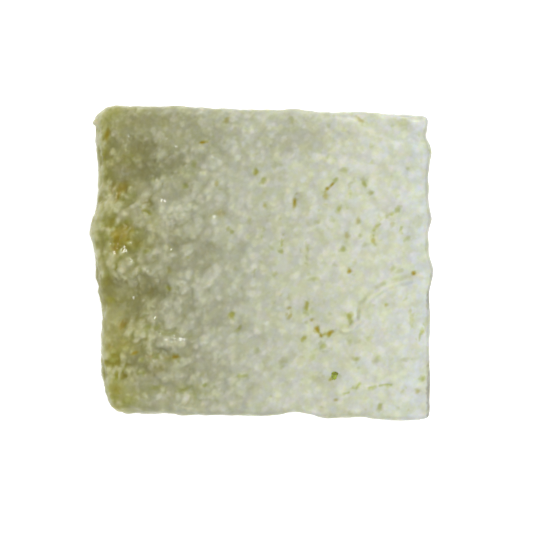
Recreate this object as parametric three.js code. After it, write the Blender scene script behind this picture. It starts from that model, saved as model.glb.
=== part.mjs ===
// A cut block of fresh white cheese, lying flat: a pressed curd block whose left side is the rolled
// outer side of the mould and whose right, front and back sides are cut.
// Millimetres, +Z up, +X to the right and +Y to the back. The origin is the middle of the block's foot.
import * as THREE from "three";
import { mergeVertices } from "three/addons/utils/BufferGeometryUtils.js";

// Driving dimensions
const WIDTH = 105.8; // between the mean lines of the left and right sides
const DEPTH = 98.9; // between the mean lines of the front and back sides
const HEIGHT = 39.2;

// Rounding of the block's edges
const MOULD_ROLL = 7.5; // how far in the rolled left side reaches over the top
const MOULD_ROLL_DROP = 5.5; // how far down that roll reaches
const CUT_ARRIS = 1.5; // the softened edges that the knife left
const FOOT_ARRIS = 2.2;
const FRONT_CORNER = 9; // plan rounding of the front left corner, along the left side
const BACK_CORNER = 5; // and of the back left corner
const ROLL_FADE = { from: 48.5, to: 8 }; // left of the middle, the roll's radii fade out between these

// Each side leans a little in plan: how far out it stands at its two ends.
// Its bulges and dents are given by place along the side, how far they stand out and their spread.
const SIDES = {
  left: {
    lean: [0.0, 1.3],
    bulges: [
      { at: 44.8, out: 1.3, spread: 1.8 },
      { at: 38.0, out: 0.8, spread: 3.6 },
      { at: 17.5, out: 0.6, spread: 2.2 },
      { at: 9.5, out: 3.6, spread: 5.2 },
      { at: -3.5, out: 1.5, spread: 7.5 },
      { at: -17.0, out: -0.6, spread: 5 },
      { at: -43.0, out: -1.0, spread: 5 },
    ],
  },
  right: {
    lean: [0.5, 0.0],
    bulges: [
      { at: 43.0, out: -1.3, spread: 1.6 },
      { at: 36.8, out: 1.0, spread: 3.4 },
      { at: 31.0, out: -0.3, spread: 2 },
      { at: 16.6, out: 1.3, spread: 2.2 },
      { at: 8.0, out: -0.4, spread: 3 },
      { at: -1.2, out: 2.2, spread: 2.4 },
      { at: -6.4, out: 0.7, spread: 1.8 },
    ],
  },
  front: {
    lean: [-0.6, 0.9],
    bulges: [
      { at: -44.0, out: 0.4, spread: 14 },
      { at: 9.5, out: -1.4, spread: 5.5 },
      { at: 19.5, out: 0.6, spread: 3 },
      { at: 44.0, out: 0.7, spread: 8 },
    ],
  },
  back: {
    lean: [1.6, -2.6],
    bulges: [
      { at: -32.0, out: 0.3, spread: 12 },
      { at: 10.0, out: 0.45, spread: 6 },
      { at: 32.5, out: 0.5, spread: 5 },
    ],
  },
};

// Mounds (rise above 0) and hollows (rise below 0) of the top face: the centre, the half lengths
// along and across, the turn of the long axis in degrees, and the rise.
const TOP_FORMS = [
  { x: -44.0, y: 24.6, along: 6.5, across: 3.8, turn: 15, rise: -1.6 },
  { x: -43.2, y: 7.6, along: 4.6, across: 4.0, turn: 60, rise: -2.2 },
  { x: -41.5, y: -8.0, along: 9.0, across: 5.0, turn: 28, rise: -1.9 },
  { x: -29.8, y: -22.4, along: 5.0, across: 1.9, turn: -4, rise: -0.9 },
  { x: -31.0, y: -30.4, along: 6.5, across: 1.9, turn: -8, rise: -0.9 },
  { x: -36.0, y: 43.5, along: 13.0, across: 3.6, turn: -3, rise: -0.8 },
  { x: -45.0, y: -37.0, along: 8.0, across: 7.0, turn: 0, rise: -0.7 },
  { x: -12.6, y: 17.4, along: 3.0, across: 2.6, turn: 40, rise: -0.6 },
  { x: -37.5, y: 20.0, along: 8.5, across: 2.8, turn: 18, rise: 0.9 },
  { x: -35.5, y: 9.5, along: 7.5, across: 2.8, turn: 52, rise: 0.9 },
  { x: -38.0, y: 0.2, along: 5.5, across: 2.4, turn: 10, rise: 0.9 },
  { x: -32.5, y: -14.5, along: 7.0, across: 3.2, turn: 38, rise: 0.8 },
  { x: -29.9, y: -27.0, along: 5.0, across: 2.2, turn: 0, rise: 0.6 },
  { x: -32.0, y: -36.0, along: 5.5, across: 3.0, turn: 8, rise: 0.5 },
];

// A ledge where a layer of curd ends, low to high from the upper left, near the front right corner.
// It rises over its ramp, sinks back over its fade and dies out before and after its ends.
const LEDGE = {
  from: [27.5, -21.1],
  to: [50.1, -5.2],
  rise: 0.7,
  ramp: 1.6,
  fade: 34,
  fadeBefore: 12,
  fadeAfter: 12,
};

// The top falls gently towards the rolled side and sags a little towards its edges.
const LEFT_FALL = { fall: 1.9, starts: 10 }; // starts this far right of the middle
const EDGE_SAG = { sag: 0.5, power: 6 };

// Soft lumps of pressed curd: how far they stand out and how long they are.
// The smaller lumps on them are given as shares of the large ones.
const TOP_LUMPS = { height: 0.45, length: 8.5 };
const SIDE_LUMPS = { height: 0.6, length: 11 };
const SMALL_LUMPS = { height: 0.45, length: 0.48 };
const SIDE_LUMPS_AT_FOOT = 0.3; // the share of the lumps' height that is left at the foot
const SIDE_TAPER = 1.0; // how far the foot stands in under the top
const SIDE_LINE_KEPT = 0.3; // the share of a side's bulges that reaches down to the foot
const SIDE_PUSH_POWER = 5; // keeps the push of the sides' lumps close to the sides

// Heights, as shares of the block's, between which the sides' lines and lumps and the top's relief fade
const UPPER_SIDE = { from: 0.3, to: 0.9 };
const LOWER_SIDE = { from: 0, to: 0.4 };
const TOP_LAYER = { from: 0.45, to: 0.95 };

// Factors of the sine that scatters the lumps' heights
const SCATTER = { i: 127.1, j: 311.7, k: 74.7, scale: 43758.5453 };

const SEGMENTS = { x: 36, y: 33, z: 12 };
const EDGE_CROWDING = 0.62; // 0 spaces the vertices evenly, and nearer 1 crowds them towards the edges

const CHEESE_COLOUR = 0xdfe0c8;

const { clamp, lerp, smoothstep, degToRad } = THREE.MathUtils;
const half = { x: WIDTH / 2, y: DEPTH / 2 };

/** A bell of height 1 and the given spread. */
function bell(distance, spread) {
  return Math.exp(-((distance / spread) ** 2));
}

/** A fixed number from 0 to 1 for each corner of a grid. */
function scatter(i, j, k) {
  const value = SCATTER.scale * Math.sin(i * SCATTER.i + j * SCATTER.j + k * SCATTER.k);
  return value - Math.floor(value);
}

/** Soft noise from -1 to 1, blended between the numbers at the eight grid corners around a place. */
function softNoise(x, y, z) {
  const cell = [x, y, z].map(Math.floor);
  const ease = [x, y, z].map((value, axis) => smoothstep(value - cell[axis], 0, 1));
  let sum = 0;
  for (const i of [0, 1]) {
    for (const j of [0, 1]) {
      for (const k of [0, 1]) {
        const weights = [i, j, k].map((corner, axis) => (corner ? ease[axis] : 1 - ease[axis]));
        sum += weights[0] * weights[1] * weights[2] * scatter(cell[0] + i, cell[1] + j, cell[2] + k);
      }
    }
  }
  return 2 * sum - 1;
}

/** Lumps of a length at a place, with smaller ones on them. */
function lumps({ height, length }, x, y, z) {
  const short = length * SMALL_LUMPS.length;
  const large = softNoise(x / length, y / length, z / length);
  const small = softNoise(y / short, z / short, x / short);
  return height * (large + SMALL_LUMPS.height * small);
}

/** Rises from 0 to 1 between two heights of the block. */
function heightFade(z, { from, to }) {
  return smoothstep(z / HEIGHT, from, to);
}

/** How far a side stands out from its mean line at a place along it. */
function sideLine({ lean, bulges }, at, halfLength) {
  const along = (at / halfLength + 1) / 2;
  return bulges.reduce(
    (out, bulge) => out + bulge.out * bell(at - bulge.at, bulge.spread),
    lerp(lean[0], lean[1], along),
  );
}

/** Crowds the box's vertices towards its edges, so that the rounding has enough of them. */
function crowd(value, halfLength) {
  const reach = (EDGE_CROWDING * Math.PI) / 2;
  return (halfLength * Math.sin((value / halfLength) * reach)) / Math.sin(reach);
}

/** Moves a point of the plain box onto the box with rounded edges. */
function roundEdges(point) {
  const roll = smoothstep(-point.x, ROLL_FADE.to, ROLL_FADE.from);
  const radius = {
    left: MOULD_ROLL,
    right: CUT_ARRIS,
    front: lerp(CUT_ARRIS, FRONT_CORNER, roll),
    back: lerp(CUT_ARRIS, BACK_CORNER, roll),
    foot: FOOT_ARRIS,
    top: lerp(CUT_ARRIS, MOULD_ROLL_DROP, roll),
  };
  const core = new THREE.Vector3(
    clamp(point.x, -half.x + radius.left, half.x - radius.right),
    clamp(point.y, -half.y + radius.front, half.y - radius.back),
    clamp(point.z, radius.foot, HEIGHT - radius.top),
  );
  const offset = point.clone().sub(core);
  const share = new THREE.Vector3(
    offset.x / (offset.x < 0 ? radius.left : radius.right),
    offset.y / (offset.y < 0 ? radius.front : radius.back),
    offset.z / (offset.z < 0 ? radius.foot : radius.top),
  );
  return core.addScaledVector(offset, 1 / share.length());
}

/** Moves the sides to their uneven lines in plan, with a slight taper and soft lumps. */
function bendSides(point) {
  const { x, y, z } = point;
  const right = (x / half.x + 1) / 2;
  const back = (y / half.y + 1) / 2;
  const upper = heightFade(z, UPPER_SIDE);
  const kept = lerp(SIDE_LINE_KEPT, 1, upper);
  const out = (side, at, halfLength) => kept * sideLine(side, at, halfLength) - SIDE_TAPER * (1 - upper);
  const offFoot = lerp(SIDE_LUMPS_AT_FOOT, 1, heightFade(z, LOWER_SIDE));
  const lump = lumps(SIDE_LUMPS, x, y, z) * (1 - upper) * offFoot;
  point.x += lerp(-out(SIDES.left, y, half.y), out(SIDES.right, y, half.y), right);
  point.y += lerp(-out(SIDES.front, x, half.x), out(SIDES.back, x, half.x), back);
  point.x += lump * (x / half.x) ** SIDE_PUSH_POWER;
  point.y += lump * (y / half.y) ** SIDE_PUSH_POWER;
  return point;
}

/** The height of a mound or hollow at a place on the top. */
function formHeight(form, x, y) {
  const turn = degToRad(form.turn);
  const dx = x - form.x;
  const dy = y - form.y;
  const along = dx * Math.cos(turn) + dy * Math.sin(turn);
  const across = dy * Math.cos(turn) - dx * Math.sin(turn);
  return form.rise * bell(Math.hypot(along / form.along, across / form.across), 1);
}

/** The height of the ledge: a short ramp up, which sinks back into the face further on. */
function ledgeHeight(x, y) {
  const [x0, y0] = LEDGE.from;
  const run = new THREE.Vector2(LEDGE.to[0] - x0, LEDGE.to[1] - y0);
  const length = run.length();
  run.normalize();
  const beyond = (x - x0) * run.y - (y - y0) * run.x;
  const along = (x - x0) * run.x + (y - y0) * run.y;
  const start = smoothstep(along, -LEDGE.fadeBefore, 0);
  const end = 1 - smoothstep(along, length, length + LEDGE.fadeAfter);
  const ramp = smoothstep(beyond, -LEDGE.ramp, LEDGE.ramp);
  return LEDGE.rise * start * end * ramp * bell(beyond, LEDGE.fade);
}

/** How far the top face stands above its plane at a place. */
function topRelief(x, y) {
  const fall = -LEFT_FALL.fall * smoothstep(-x, -LEFT_FALL.starts, half.x);
  const nearEdge = Math.max(Math.abs(x / half.x), Math.abs(y / half.y));
  const sag = -EDGE_SAG.sag * nearEdge ** EDGE_SAG.power;
  const face = fall + sag + lumps(TOP_LUMPS, x, y, 0) + ledgeHeight(x, y);
  return TOP_FORMS.reduce((sum, form) => sum + formHeight(form, x, y), face);
}

/** The closed surface of the whole block, standing on its flat foot. */
function cheeseGeometry() {
  const { x, y, z } = SEGMENTS;
  const box = new THREE.BoxGeometry(WIDTH, DEPTH, HEIGHT, x, y, z);
  box.deleteAttribute("normal");
  box.deleteAttribute("uv");
  const geometry = mergeVertices(box);
  const position = geometry.getAttribute("position");
  const point = new THREE.Vector3();
  for (let i = 0; i < position.count; i++) {
    point.fromBufferAttribute(position, i);
    point.set(
      crowd(point.x, half.x),
      crowd(point.y, half.y),
      crowd(point.z, HEIGHT / 2) + HEIGHT / 2,
    );
    const shaped = bendSides(roundEdges(point));
    shaped.z += topRelief(shaped.x, shaped.y) * heightFade(shaped.z, TOP_LAYER);
    position.setXYZ(i, shaped.x, shaped.y, shaped.z);
  }
  geometry.computeBoundingBox();
  const { min, max } = geometry.boundingBox;
  geometry.translate(-(min.x + max.x) / 2, -(min.y + max.y) / 2, -min.z);
  geometry.computeVertexNormals();
  return geometry;
}

const cheeseMaterial = new THREE.MeshStandardMaterial({
  color: CHEESE_COLOUR,
  roughness: 0.5,
  metalness: 0,
});

const cheese = new THREE.Mesh(cheeseGeometry(), cheeseMaterial);
cheese.name = "cheese";

const part = new THREE.Group();
part.add(cheese);

export default part;
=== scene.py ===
"""A cut block of fresh white curd cheese on a pale table, seen from straight above.

The block's own sizes are in millimetres in its frame, from the middle of its foot: +X to the right, +Y to the
back and +Z up. They become metres where a mesh is made. The lamps and the table's width are in metres.
"""

import logging
import math
from collections.abc import Sequence
from dataclasses import dataclass, field
from enum import Enum

import bmesh
import bpy
from mathutils import Matrix, Vector, kdtree, noise


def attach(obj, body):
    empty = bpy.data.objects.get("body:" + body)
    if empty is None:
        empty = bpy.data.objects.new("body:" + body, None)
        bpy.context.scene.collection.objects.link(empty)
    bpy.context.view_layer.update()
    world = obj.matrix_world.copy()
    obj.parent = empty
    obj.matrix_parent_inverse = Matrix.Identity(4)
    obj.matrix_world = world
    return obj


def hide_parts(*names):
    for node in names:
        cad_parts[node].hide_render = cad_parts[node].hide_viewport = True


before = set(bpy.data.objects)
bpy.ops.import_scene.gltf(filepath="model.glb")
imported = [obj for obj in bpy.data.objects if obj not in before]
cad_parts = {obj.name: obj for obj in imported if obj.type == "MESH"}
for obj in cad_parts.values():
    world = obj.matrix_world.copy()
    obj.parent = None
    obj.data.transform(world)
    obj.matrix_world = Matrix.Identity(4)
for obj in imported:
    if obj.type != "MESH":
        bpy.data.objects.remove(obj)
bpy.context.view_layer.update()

MM = 0.001
ROOT = "root"
CHEESE_NODE = "cheese"
NOISE_SEED = 1

log = logging.getLogger("cheese")

Colour = tuple[float, float, float]
WHITE: Colour = (1.0, 1.0, 1.0)


def blend(first: float, second: float, share: float) -> float:
    """The number that is share of the way from first to second."""
    return first + (second - first) * share


@dataclass(frozen=True)
class Ramp:
    """A smooth rise from 0 at its low end to 1 at its high end."""

    low: float
    high: float

    def at(self, value: float) -> float:
        """How far up the ramp a value is, from 0 to 1."""
        share = min(max((value - self.low) / (self.high - self.low), 0.0), 1.0)
        return share * share * (3.0 - 2.0 * share)


@dataclass(frozen=True)
class Drift:
    """Soft random ups and downs: how long they are, how strong, and where their pattern starts."""

    length: float
    strength: float = 1.0
    start: tuple[float, float, float] = (0.0, 0.0, 0.0)

    def at(self, place: Vector) -> float:
        """The drift's number at a place, on either side of 0."""
        return self.strength * noise.noise(place / self.length + Vector(self.start))

    def move(self, place: Vector) -> Vector:
        """How far and which way the drift moves a place."""
        return self.strength * noise.noise_vector(place / self.length)


class Whey(Enum):
    """What has gathered in a place, whey yellow and golden brown, and how much painted shade lies there,
    darkest past 1.
    """

    NONE = (0.0, 0.0, 0.0)
    PALE = (0.52, 0.0, 0.12)
    OLIVE = (0.86, 0.0, 0.24)
    TAN = (0.6, 0.4, 0.05)
    GOLD = (1.0, 0.36, 0.0)
    RUST = (0.85, 1.0, 0.1)
    MOSS = (1.0, 0.5, 0.45)
    HONEY = (1.0, 0.88, 0.0)
    HOLLOW_SHADE = (0.4, 0.0, 0.88)
    FAINT_SHADE = (0.12, 0.0, 0.36)
    SHADED = (0.0, 0.0, 2.0)


@dataclass(frozen=True)
class Mark:
    """A hollow, pit, stain or nodule of the top face, as an uneven oval in plan."""

    x: float
    y: float
    along: float
    across: float
    turn: float
    rise: float
    whey: Whey = Whey.NONE

    def reach(self, radii: float) -> float:
        """The length in plan of so many of the mark's longest radii."""
        return radii * max(self.along, self.across)

    def distance(self, place: Vector) -> float:
        """How far out a place is, where 1 is the mark's own edge.

        Args:
            place: a point of the surface.

        Returns:
            0 in the middle, 1 on the edge and more outside.
        """
        angle = math.radians(self.turn)
        dx = place.x - self.x
        dy = place.y - self.y
        along = dx * math.cos(angle) + dy * math.sin(angle)
        across = dy * math.cos(angle) - dx * math.sin(angle)
        return math.hypot(along / self.along, across / self.across)


@dataclass(frozen=True)
class Line:
    """A line on the top face that runs through a few points in plan."""

    points: tuple[tuple[float, float], ...]

    def distance(self, place: Vector) -> float:
        """The distance in plan from a place to the nearest stretch of the line."""
        return min(
            self.to_stretch(place, Vector(start), Vector(end))
            for start, end in zip(self.points, self.points[1:])
        )

    @staticmethod
    def to_stretch(place: Vector, start: Vector, end: Vector) -> float:
        """The distance in plan from a place to one straight stretch.

        Args:
            place: a point of the surface.
            start: the stretch's first point in plan.
            end: its last point in plan.

        Returns:
            The distance.
        """
        run = end - start
        offset = place.to_2d() - start
        share = min(max(offset.dot(run) / run.length_squared, 0.0), 1.0)
        return (offset - run * share).length


@dataclass(frozen=True)
class Groove(Line):
    """A crack of the top face, and what has gathered in it."""

    width: float
    depth: float
    whey: Whey = Whey.PALE


# Wide hollows and patches of painted shade, most of them by the rolled side
HOLLOWS = (
    Mark(-44.4, 24.5, 3.2, 2.2, 40, -0.7, Whey.HONEY),
    Mark(-46.4, 20.8, 2.2, 1.0, 70, -0.4, Whey.HONEY),
    Mark(-43.0, 29.8, 2.6, 1.8, 20, -0.4, Whey.MOSS),
    Mark(-45.0, 8.6, 5.0, 3.6, 30, -0.8, Whey.HONEY),
    Mark(-46.6, 4.4, 3.0, 1.4, 65, -0.4, Whey.HONEY),
    Mark(-39.9, 6.0, 2.4, 1.7, 30, -0.4, Whey.MOSS),
    Mark(-38.9, -9.0, 6.6, 3.8, 10, -0.8, Whey.HOLLOW_SHADE),
    Mark(-40.5, -15.4, 3.8, 2.6, 40, -0.3, Whey.HOLLOW_SHADE),
    Mark(-34.8, -9.2, 1.8, 1.5, 50, -0.5, Whey.MOSS),
    Mark(-24.6, 27.6, 4.4, 2.6, 40, -0.4, Whey.PALE),
    Mark(-33.0, 28.6, 6.0, 3.0, 35, -0.4, Whey.PALE),
    Mark(-29.6, -22.8, 3.8, 1.0, -3, -0.6, Whey.PALE),
    Mark(-33.0, -30.6, 6.0, 1.3, -5, -0.6, Whey.MOSS),
    Mark(-12.6, 15.6, 2.6, 1.5, -10, -0.4, Whey.TAN),
    Mark(-49.0, -6.4, 2.6, 2.2, 80, -0.3, Whey.MOSS),
    Mark(-44.2, -19.6, 2.6, 1.6, 60, -0.5, Whey.HONEY),
    Mark(-44.8, -26.4, 3.0, 1.8, 10, -0.4, Whey.TAN),
    Mark(-47.4, 47.0, 3.0, 2.2, 40, -0.2, Whey.OLIVE),
    Mark(-49.4, 41.0, 2.8, 1.2, 80, -0.3, Whey.HONEY),
    Mark(-52.4, 42.8, 1.2, 0.8, 90, -1.5, Whey.PALE),
    Mark(-41.6, 44.8, 2.4, 1.6, 20, -0.2, Whey.MOSS),
    Mark(-31.4, 44.8, 2.8, 2.0, 10, -0.2, Whey.MOSS),
    Mark(-47.8, 13.0, 2.2, 1.6, 60, -0.3, Whey.MOSS),
    Mark(-46.2, -41.0, 2.6, 2.0, 60, -0.2, Whey.MOSS),
    Mark(-43.2, -45.0, 2.8, 1.8, 20, -0.2, Whey.OLIVE),
    Mark(-48.6, -26.8, 2.0, 1.6, 80, -0.2, Whey.MOSS),
    Mark(-37.6, 38.6, 9.0, 5.0, -20, -0.4, Whey.HOLLOW_SHADE),
    Mark(-39.6, 28.4, 7.0, 4.4, 20, -0.4, Whey.HOLLOW_SHADE),
    Mark(-29.4, 31.6, 5.0, 3.0, 30, -0.3, Whey.HOLLOW_SHADE),
    Mark(-41.0, 44.6, 6.0, 2.6, 0, -0.1, Whey.HOLLOW_SHADE),
    Mark(-47.0, 36.4, 4.6, 3.0, 60, -0.3, Whey.HOLLOW_SHADE),
    Mark(-45.5, 29.5, 4.4, 2.8, 60, -0.3, Whey.HOLLOW_SHADE),
    Mark(-46.0, -9.0, 4.2, 3.2, 0, -0.4, Whey.HOLLOW_SHADE),
    Mark(-43.4, -15.8, 4.6, 3.2, 20, -0.4, Whey.HOLLOW_SHADE),
    Mark(-40.0, -40.4, 8.0, 3.2, 0, -0.1, Whey.PALE),
    Mark(-22.0, -41.6, 7.0, 2.6, 0, -0.1, Whey.PALE),
    Mark(-27.0, 41.6, 9.0, 4.0, 0, -0.1, Whey.FAINT_SHADE),
    Mark(-18.0, 41.5, 9.0, 5.0, 0, -0.1, Whey.FAINT_SHADE),
    Mark(11.5, 39.0, 10.0, 4.5, 0, -0.1, Whey.FAINT_SHADE),
    Mark(-32.0, -9.0, 4.0, 3.4, 0, -0.2, Whey.HOLLOW_SHADE),
    Mark(-47.0, -9.6, 5.0, 3.6, 0, -0.2, Whey.HOLLOW_SHADE),
    Mark(-28.5, -1.5, 7.0, 4.0, 10, -0.2, Whey.FAINT_SHADE),
    Mark(-34.0, -38.4, 7.0, 3.4, 0, -0.2, Whey.FAINT_SHADE),
    Mark(-33.0, 44.0, 10.0, 3.6, 0, -0.1, Whey.FAINT_SHADE),
    Mark(-27.0, 22.0, 5.0, 3.6, 30, -0.2, Whey.FAINT_SHADE),
    Mark(-37.0, 22.6, 4.0, 2.4, 30, -0.2, Whey.FAINT_SHADE),
    Mark(-17.6, -32.0, 4.0, 3.6, 30, -0.2, Whey.FAINT_SHADE),
    Mark(-13.0, -16.8, 4.0, 3.6, 30, -0.2, Whey.FAINT_SHADE),
    Mark(-48.0, -24.0, 3.4, 3.0, 90, -0.1, Whey.FAINT_SHADE),
    Mark(-47.0, -16.6, 4.0, 3.2, 0, -0.2, Whey.FAINT_SHADE),
    Mark(-39.0, -31.6, 4.4, 3.4, 0, -0.2, Whey.HOLLOW_SHADE),
)

# Pits and stains that stand out, and two dented stretches of the right edge in painted shade
PITS = (
    Mark(-1.5, 28.9, 1.2, 0.8, 80, -0.8, Whey.GOLD),
    Mark(10.9, 19.2, 1.9, 0.7, 82, -0.8, Whey.RUST),
    Mark(20.8, 21.2, 1.2, 1.0, 85, -0.4, Whey.TAN),
    Mark(21.3, 23.4, 0.8, 0.6, 30, -0.9, Whey.RUST),
    Mark(22.9, 24.8, 1.2, 0.5, 45, -0.6, Whey.RUST),
    Mark(24.1, 26.4, 1.0, 0.6, 45, -0.3, Whey.OLIVE),
    Mark(26.8, 29.2, 1.6, 0.8, -10, -0.15, Whey.PALE),
    Mark(1.4, 18.0, 0.9, 0.7, 90, -0.3, Whey.TAN),
    Mark(-18.6, 38.4, 1.6, 0.6, 6, -0.5, Whey.RUST),
    Mark(-14.0, 25.0, 1.4, 0.7, 85, -0.3, Whey.TAN),
    Mark(-10.9, 45.4, 1.6, 0.9, 60, -0.1, Whey.TAN),
    Mark(-10.4, 10.6, 0.8, 0.6, 0, -0.4, Whey.OLIVE),
    Mark(-9.2, 9.6, 0.8, 0.6, 20, -0.4, Whey.OLIVE),
    Mark(-3.7, 13.6, 1.4, 0.8, 80, -0.2, Whey.PALE),
    Mark(31.2, 13.1, 1.0, 0.8, 80, -0.25, Whey.TAN),
    Mark(27.5, 8.3, 1.1, 1.0, 60, -0.3, Whey.TAN),
    Mark(26.3, 4.0, 1.0, 0.8, 10, -0.35, Whey.OLIVE),
    Mark(36.0, 6.8, 1.5, 0.7, 105, -0.4, Whey.TAN),
    Mark(28.5, -2.9, 0.85, 0.7, 10, -0.6, Whey.RUST),
    Mark(49.0, -3.7, 0.9, 0.75, 40, -0.5, Whey.RUST),
    Mark(44.6, -2.8, 1.2, 0.7, 15, -0.2, Whey.PALE),
    Mark(42.4, -2.0, 0.9, 0.7, 30, -0.2, Whey.PALE),
    Mark(14.8, -14.4, 2.1, 0.7, 86, -0.5, Whey.GOLD),
    Mark(9.5, -17.2, 1.3, 0.6, 62, -0.4, Whey.TAN),
    Mark(16.4, -18.5, 0.8, 0.6, 40, -0.3, Whey.TAN),
    Mark(14.5, -19.2, 0.7, 0.6, 40, -0.2, Whey.PALE),
    Mark(18.1, -21.6, 1.1, 0.8, -60, -0.7, Whey.RUST),
    Mark(19.3, -23.6, 1.0, 0.5, -55, -0.6, Whey.RUST),
    Mark(22.2, -22.7, 1.4, 0.9, 35, -0.8, Whey.RUST),
    Mark(13.8, -24.3, 1.1, 0.7, 28, -0.4, Whey.GOLD),
    Mark(-9.3, -17.0, 1.2, 1.0, 70, -0.5, Whey.GOLD),
    Mark(28.4, -17.2, 1.1, 0.9, 60, -0.5, Whey.GOLD),
    Mark(28.7, -19.2, 1.0, 0.7, 100, -0.3, Whey.OLIVE),
    Mark(6.8, 3.3, 0.8, 0.6, 0, -0.3, Whey.OLIVE),
    Mark(4.6, -4.0, 0.7, 0.6, 60, -0.2, Whey.PALE),
    Mark(-7.2, -21.6, 1.3, 0.6, 50, -0.4, Whey.OLIVE),
    Mark(-6.0, -36.5, 1.8, 0.6, 4, -0.3, Whey.OLIVE),
    Mark(-17.8, -39.4, 0.8, 0.6, 70, -0.4, Whey.OLIVE),
    Mark(-1.0, -28.5, 0.9, 0.7, 60, -0.2, Whey.PALE),
    Mark(50.4, -41.2, 0.9, 0.8, 85, -0.3, Whey.TAN),
    Mark(52.0, -37.3, 0.9, 0.8, 20, -0.2, Whey.OLIVE),
    Mark(24.1, -44.1, 0.9, 0.6, 10, -0.3, Whey.TAN),
    Mark(38.0, -46.6, 1.2, 0.7, 75, -0.2, Whey.OLIVE),
    Mark(20.2, -26.8, 1.2, 1.1, 60, -0.2, Whey.OLIVE),
    Mark(16.8, -30.2, 1.1, 0.8, 80, -0.1, Whey.PALE),
    Mark(30.7, -30.9, 1.1, 0.8, 10, -0.2, Whey.OLIVE),
    Mark(36.9, -31.1, 1.2, 1.0, 60, -0.1, Whey.PALE),
    Mark(46.0, -31.1, 1.4, 0.7, 20, -0.15, Whey.PALE),
    Mark(34.4, -24.3, 1.0, 0.9, 0, -0.1, Whey.PALE),
    Mark(28.4, -25.6, 1.1, 0.8, 80, -0.1, Whey.PALE),
    Mark(40.1, -13.7, 0.8, 0.6, 0, -0.1, Whey.TAN),
    Mark(7.2, -31.7, 1.5, 1.1, 40, -0.1, Whey.PALE),
    Mark(17.7, -37.3, 1.6, 1.1, 0, -0.05, Whey.PALE),
    Mark(22.4, -37.5, 0.8, 0.5, 30, -0.1, Whey.GOLD),
    Mark(35.5, 22.0, 0.9, 0.7, 20, -0.25, Whey.OLIVE),
    Mark(33.2, 25.2, 1.4, 0.7, 110, -0.2, Whey.OLIVE),
    Mark(25.0, 16.8, 1.1, 0.7, 80, -0.2, Whey.OLIVE),
    Mark(18.1, 12.7, 1.1, 0.7, 0, -0.15, Whey.PALE),
    Mark(22.9, 13.4, 0.7, 0.6, 0, -0.1, Whey.PALE),
    Mark(43.7, 16.8, 1.5, 0.9, 60, -0.2, Whey.OLIVE),
    Mark(41.9, 12.2, 0.9, 0.7, 20, -0.2, Whey.PALE),
    Mark(46.9, 7.6, 0.9, 0.7, 40, -0.2, Whey.PALE),
    Mark(31.8, 8.4, 0.6, 0.5, 0, -0.3, Whey.PALE),
    Mark(33.4, 5.6, 0.8, 0.7, 0, -0.2, Whey.PALE),
    Mark(30.0, -0.4, 0.9, 0.7, 60, -0.15, Whey.PALE),
    Mark(38.9, -7.2, 1.3, 0.7, 30, -0.1, Whey.PALE),
    Mark(17.0, -5.4, 1.5, 0.7, 10, -0.1, Whey.PALE),
    Mark(0.8, 26.1, 1.1, 0.7, 60, -0.3, Whey.OLIVE),
    Mark(4.6, 30.8, 1.1, 0.8, 30, -0.2, Whey.PALE),
    Mark(32.0, 45.4, 2.0, 0.8, -25, -0.15, Whey.TAN),
    Mark(44.6, 44.2, 2.4, 1.5, 0, -0.1, Whey.PALE),
    # Two stretches of painted shade along the right edge, dented a little
    Mark(54.3, -12.2, 3.2, 0.8, 90, -0.8, Whey.SHADED),
    Mark(54.4, -41.6, 8.0, 0.8, 90, -0.8, Whey.SHADED),
    Mark(9.8, 45.2, 1.2, 0.9, 80, -0.1, Whey.PALE),
    Mark(-36.4, 16.0, 1.7, 0.9, -35, -1.1, Whey.GOLD),
    Mark(-24.2, 24.4, 1.1, 0.9, 30, -0.6, Whey.OLIVE),
    Mark(-29.7, -8.3, 1.3, 0.8, -60, -1.1, Whey.GOLD),
    Mark(-29.5, -2.7, 1.2, 0.9, 100, -0.4, Whey.TAN),
    Mark(-41.6, 21.8, 1.2, 0.9, 20, -0.4, Whey.OLIVE),
    Mark(-37.0, 3.4, 1.4, 0.7, 0, -0.4, Whey.OLIVE),
    Mark(-49.4, 7.7, 1.1, 1.0, 0, -0.3, Whey.OLIVE),
    Mark(-38.6, -2.6, 0.9, 0.7, 20, -0.2, Whey.OLIVE),
    Mark(-23.3, 1.5, 0.7, 0.5, 0, -0.3, Whey.TAN),
    Mark(-27.4, -30.5, 1.5, 0.8, 5, -0.5, Whey.RUST),
    Mark(-33.8, -30.2, 1.3, 1.2, 80, -0.6, Whey.OLIVE),
    Mark(-40.5, -29.2, 1.4, 0.7, 20, -0.4, Whey.RUST),
    Mark(-38.4, -31.3, 1.0, 0.8, 30, -0.5, Whey.OLIVE),
    Mark(-24.8, -40.8, 2.0, 0.7, 24, -0.7, Whey.OLIVE),
    Mark(-18.8, -36.0, 1.0, 0.7, 30, -0.3, Whey.PALE),
    Mark(-48.4, -12.2, 1.6, 0.8, 5, -0.4, Whey.GOLD),
    Mark(-35.9, -21.0, 1.1, 0.9, 30, -0.5, Whey.OLIVE),
    Mark(-33.4, -21.0, 1.0, 0.8, 30, -0.4, Whey.OLIVE),
    Mark(-47.7, -31.6, 1.6, 0.9, 0, -0.3, Whey.OLIVE),
    Mark(-46.4, -36.6, 1.8, 0.7, 85, -0.3, Whey.GOLD),
    Mark(-38.0, -35.6, 1.4, 0.7, 0, -0.3, Whey.OLIVE),
    Mark(-33.8, -40.2, 1.8, 0.7, 5, -0.3, Whey.OLIVE),
    Mark(-21.6, 31.3, 0.9, 0.7, 60, -0.3, Whey.OLIVE),
)

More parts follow.
